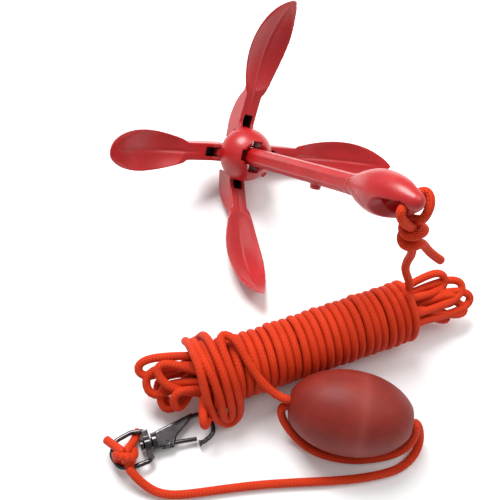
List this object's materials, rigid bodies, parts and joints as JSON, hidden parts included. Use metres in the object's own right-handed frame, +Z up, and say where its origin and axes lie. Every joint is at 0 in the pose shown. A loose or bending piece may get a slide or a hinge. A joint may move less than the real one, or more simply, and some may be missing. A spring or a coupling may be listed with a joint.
{
  "type": "folding grapnel anchor",
  "caption": "Folding grapnel anchor standing open with its collar down, with a knotted line wound in a hank, an egg-shaped float and a swivel snap hook",
  "frame": {"origin": "on the floor, under the middle of the anchor's bounding box, the line left out", "axes": "+Z is up from the floor and is the shortest extent of the anchor alone; the line, float and hook lie towards -Y and the shank leans towards +X and -Y"},
  "size_m": [0.247, 0.3156, 0.1632],
  "materials": {
    "red_coating": "glossy thick red coating over a rough casting",
    "orange_rope": "braided synthetic rope, bright orange-red",
    "float_foam": "matte brick-red foam with fine scuffs",
    "hook_plating": "nickel-plated, lightly worn",
    "spring_steel": "plain spring wire"
  },
  "bodies": {
    "anchor_and_line": {"float_body": "float_foam", "pin_fluke_back": "red_coating", "pin_fluke_front": "red_coating", "pin_fluke_left": "red_coating", "pin_fluke_right": "red_coating", "rope_drop": "orange_rope", "rope_first_pass": "orange_rope", "rope_float_turn": "orange_rope", "rope_free_line": "orange_rope", "rope_hank": "orange_rope", "rope_head_knot": "orange_rope", "rope_head_loop": "orange_rope", "rope_head_tail": "orange_rope", "rope_hook_knot": "orange_rope", "rope_hook_strand": "orange_rope", "rope_hook_tail": "orange_rope", "rope_lock_strand": "orange_rope", "rope_second_pass": "orange_rope", "shank": "red_coating", "shank_eye": "red_coating", "swivel_eye": "hook_plating"},
    "locking_collar": {"locking_collar": "red_coating"},
    "fluke_right": {"fluke_right": "red_coating"},
    "fluke_back": {"fluke_back": "red_coating"},
    "fluke_left": {"fluke_left": "red_coating"},
    "fluke_front": {"fluke_front": "red_coating"},
    "snap_hook": {"snap_body": "hook_plating", "gate_pin": "hook_plating", "gate_spring": "spring_steel"},
    "snap_gate": {"snap_gate": "hook_plating"}
  },
  "joints": [
    {"name": "collar_slide", "type": "slide", "parent": "anchor_and_line", "child": "locking_collar", "axis": [0.4529, -0.6143, 0.6461], "range_m": [0, 0.11]},
    {"name": "fluke_right_fold", "type": "hinge", "parent": "anchor_and_line", "child": "fluke_right", "pos_m": [-0.00323, 0.03624, 0.02132], "axis": [-0.0719, -0.7475, -0.6603], "range_deg": [0, 62.3]},
    {"name": "fluke_back_fold", "type": "hinge", "parent": "anchor_and_line", "child": "fluke_back", "pos_m": [-0.01313, 0.04352, 0.03519], "axis": [0.8729, 0.1582, -0.4614], "range_deg": [0, 70.3]},
    {"name": "fluke_left_fold", "type": "hinge", "parent": "anchor_and_line", "child": "fluke_left", "pos_m": [-0.02812, 0.02913, 0.032], "axis": [0.0688, 0.7467, 0.6616], "range_deg": [0, 71.7]},
    {"name": "fluke_front_fold", "type": "hinge", "parent": "anchor_and_line", "child": "fluke_front", "pos_m": [-0.01797, 0.02192, 0.01804], "axis": [-0.8763, -0.1731, 0.4497], "range_deg": [0, 46.9]},
    {"name": "hook_swivel", "type": "hinge", "parent": "anchor_and_line", "child": "snap_hook", "pos_m": [-0.0669, -0.1808, 0.0064], "axis": [0.9436, 0.3194, -0.0872], "continuous": true},
    {"name": "gate_swing", "type": "hinge", "parent": "snap_hook", "child": "snap_gate", "pos_m": [-0.05917, -0.18188, 0.00579], "axis": [0.0826, 0.0279, 0.9962], "range_deg": [0, 26], "stiffness_Nm_per_rad": 0.02, "springref_deg": -28.65}
  ],
  "couplings": [
    {"joint": "fluke_right_fold", "follows": "collar_slide", "rad_per_m": 9.8839},
    {"joint": "fluke_back_fold", "follows": "collar_slide", "rad_per_m": 11.153},
    {"joint": "fluke_left_fold", "follows": "collar_slide", "rad_per_m": 11.375},
    {"joint": "fluke_front_fold", "follows": "collar_slide", "rad_per_m": 7.4407}
  ]
}
